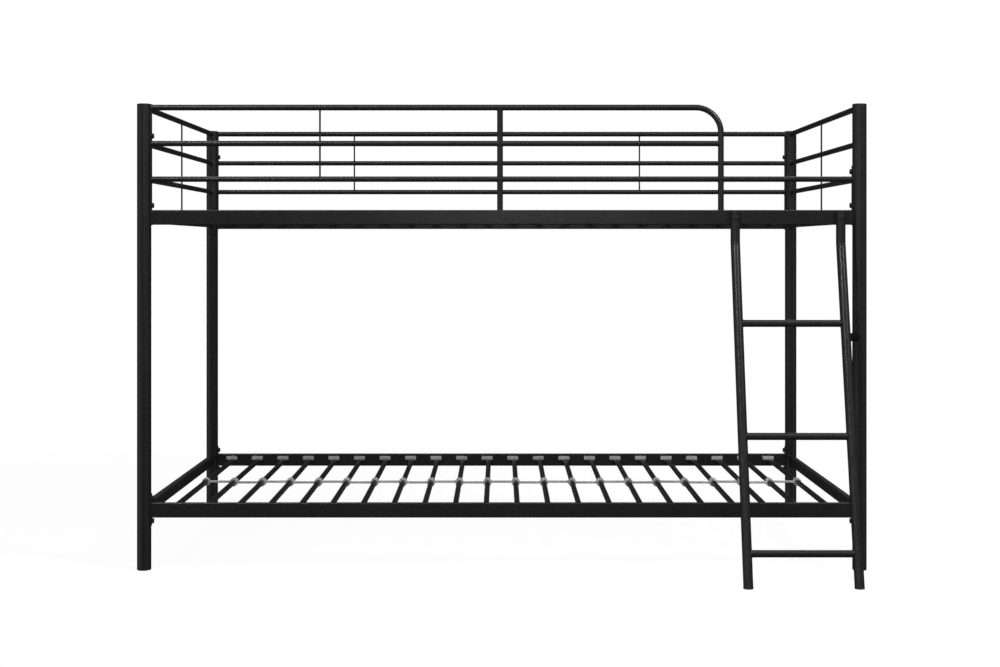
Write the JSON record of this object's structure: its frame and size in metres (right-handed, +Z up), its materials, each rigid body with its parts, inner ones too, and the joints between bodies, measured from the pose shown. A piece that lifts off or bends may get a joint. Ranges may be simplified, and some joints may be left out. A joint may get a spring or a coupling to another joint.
{
  "type": "bunk bed",
  "caption": "Twin-over-twin tubular steel bunk bed with slatted decks, guard rails on all sides and a leaning ladder at one end of the front.",
  "frame": {"origin": "on the floor under the middle of the whole outline, ladder included", "axes": "+X along the bed towards the ladder's end, +Y from the ladder side to the back, +Z up"},
  "size_m": [1.9686, 1.2886, 1.257],
  "materials": {
    "frame_black": "satin black powder coat",
    "cap_black": "smooth black moulded plastic",
    "fastener_black": "black oxide",
    "insert_steel": "plain zinc-plated steel",
    "slat_plastic_grey": "mid grey moulded plastic",
    "stay_rubber": "black moulded rubber"
  },
  "bodies": {
    "root": {"end_guard_lower_left": "frame_black", "end_guard_lower_right": "frame_black", "end_guard_middle_left": "frame_black", "end_guard_middle_right": "frame_black", "end_guard_spindles": "frame_black", "end_guard_top_left": "frame_black", "end_guard_top_right": "frame_black", "front_guard_center_upright": "frame_black", "front_guard_hoop": "frame_black", "front_guard_lower_rail": "frame_black", "front_guard_middle_rail": "frame_black", "ladder_bolts": "fastener_black", "ladder_foot_caps": "cap_black", "ladder_rung_bottom": "frame_black", "ladder_rung_middle": "frame_black", "ladder_rung_top": "frame_black", "ladder_stay_spacer": "stay_rubber", "ladder_stay_stud": "insert_steel", "ladder_stile_left": "frame_black", "ladder_stile_right": "frame_black", "ladder_thread_inserts": "insert_steel", "ladder_top_caps": "cap_black", "lower_end_bearer_left": "frame_black", "lower_end_bearer_right": "frame_black", "lower_front_side_rail": "frame_black", "lower_front_slat_sockets": "slat_plastic_grey", "lower_plate_front_left": "frame_black", "lower_plate_front_right": "frame_black", "lower_plate_rear_left": "frame_black", "lower_plate_rear_right": "frame_black", "lower_rear_side_rail": "frame_black", "lower_rear_slat_sockets": "slat_plastic_grey", "lower_slat_spacers": "slat_plastic_grey", "lower_slats": "frame_black", "plate_bolts": "fastener_black", "post_foot_caps": "cap_black", "post_front_left": "frame_black", "post_front_right": "frame_black", "post_rear_left": "frame_black", "post_rear_right": "frame_black", "post_thread_inserts": "insert_steel", "post_top_caps": "cap_black", "rear_guard_lower_rail": "frame_black", "rear_guard_middle_rail": "frame_black", "rear_guard_top_rail": "frame_black", "saddle_washers": "fastener_black", "side_guard_spindles": "frame_black", "upper_end_bearer_left": "frame_black", "upper_end_bearer_right": "frame_black", "upper_front_side_rail": "frame_black", "upper_front_slat_sockets": "slat_plastic_grey", "upper_plate_front_left": "frame_black", "upper_plate_front_right": "frame_black", "upper_plate_rear_left": "frame_black", "upper_plate_rear_right": "frame_black", "upper_rear_side_rail": "frame_black", "upper_rear_slat_sockets": "slat_plastic_grey", "upper_slat_spacers": "slat_plastic_grey", "upper_slats": "frame_black"}
  },
  "joints": []
}
